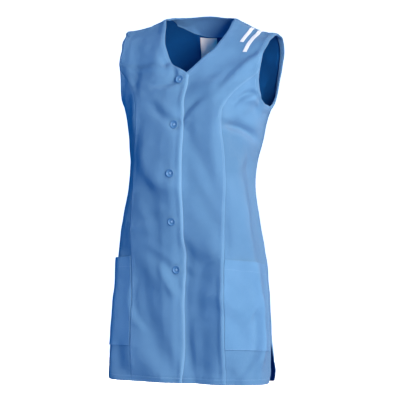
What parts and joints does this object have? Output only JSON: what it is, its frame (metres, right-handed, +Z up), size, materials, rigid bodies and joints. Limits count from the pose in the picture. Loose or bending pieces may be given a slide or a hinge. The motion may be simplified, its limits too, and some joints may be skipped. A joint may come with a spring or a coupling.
{
  "type": "medical tunic",
  "caption": "Sleeveless buttoned medical tunic with princess seams, patch pockets and side slits, held in its worn shape with the body hollow",
  "frame": {"origin": "level with the two side neck points and halfway between them, where a wearer's shoulders carry the tunic", "axes": "+Z up along the body, +X to the wearer's left, the wearer faces -Y"},
  "size_m": [0.3794, 0.2335, 0.787],
  "materials": {
    "twill_blue": "mid-weight polyester and cotton twill",
    "tape_white": "woven tape",
    "button_blue": "satin moulded resin",
    "label_white": "satin woven label, blank"
  },
  "bodies": {
    "root": {"right_front": "twill_blue", "left_front": "twill_blue", "right_side_front": "twill_blue", "left_side_front": "twill_blue", "back": "twill_blue", "right_pocket": "twill_blue", "left_pocket": "twill_blue", "back_neck_facing": "twill_blue", "right_armhole_facing": "twill_blue", "left_armhole_facing": "twill_blue", "label": "label_white", "shoulder_stripe_inner": "tape_white", "shoulder_stripe_outer": "tape_white", "button_1": "button_blue", "button_2": "button_blue", "button_3": "button_blue", "button_4": "button_blue", "button_5": "button_blue"}
  },
  "joints": []
}
